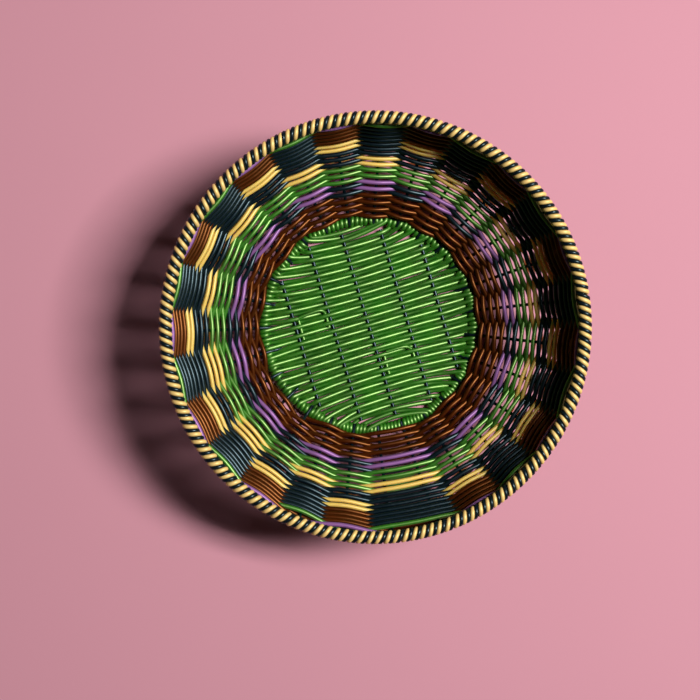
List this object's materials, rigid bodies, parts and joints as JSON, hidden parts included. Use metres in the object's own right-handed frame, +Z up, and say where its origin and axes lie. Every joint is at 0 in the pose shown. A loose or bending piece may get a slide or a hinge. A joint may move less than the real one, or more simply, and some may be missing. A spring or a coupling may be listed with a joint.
{
  "type": "bowl",
  "caption": "Round shallow bowl hand-woven from coloured plastic-coated wire, with a plain-woven flat base, flaring sides in vertical stripes and a lashed rim.",
  "frame": {"origin": "centre of the foot, on the surface that the bowl stands on", "axes": "+Z up along the bowl's axis; the rows of the woven base run 15.5 degrees from +X towards +Y"},
  "size_m": [0.2514, 0.251, 0.0832],
  "materials": {
    "navy_wire": "glossy plastic coating on wire",
    "green_wire": "glossy plastic coating on wire",
    "brown_wire": "glossy plastic coating on wire",
    "lilac_wire": "glossy plastic coating on wire",
    "yellow_wire": "glossy plastic coating on wire",
    "lashing_wire": "glossy plastic coating on wire"
  },
  "bodies": {
    "root": {"base_ring": "navy_wire", "base_stick_1": "navy_wire", "base_stick_2": "navy_wire", "base_stick_3": "navy_wire", "base_stick_4": "navy_wire", "base_stick_5": "navy_wire", "base_weaver": "green_wire", "stake_01": "navy_wire", "stake_02": "navy_wire", "stake_03": "navy_wire", "stake_04": "navy_wire", "stake_05": "navy_wire", "stake_06": "navy_wire", "stake_07": "navy_wire", "stake_08": "navy_wire", "stake_09": "navy_wire", "stake_10": "navy_wire", "stake_11": "navy_wire", "stake_12": "navy_wire", "stake_13": "navy_wire", "stake_14": "navy_wire", "stake_15": "navy_wire", "stake_16": "navy_wire", "stake_17": "navy_wire", "stake_18": "navy_wire", "stake_19": "navy_wire", "stake_20": "navy_wire", "stake_21": "navy_wire", "stake_22": "navy_wire", "stake_23": "navy_wire", "stake_24": "navy_wire", "stake_25": "navy_wire", "stake_26": "navy_wire", "stake_27": "navy_wire", "weaver_a1_brown": "brown_wire", "weaver_a2_lilac": "lilac_wire", "weaver_a3_green": "green_wire", "weaver_a4_yellow": "yellow_wire", "weaver_a5_navy": "navy_wire", "weaver_a6_green": "green_wire", "weaver_b1_brown": "brown_wire", "weaver_b2_navy": "navy_wire", "weaver_b3_green": "green_wire", "weaver_b4_navy": "navy_wire", "weaver_b5_yellow": "yellow_wire", "weaver_b6_brown": "brown_wire", "weaver_b7_lilac": "lilac_wire", "rim_core": "navy_wire", "rim_lashing": "lashing_wire"}
  },
  "joints": []
}
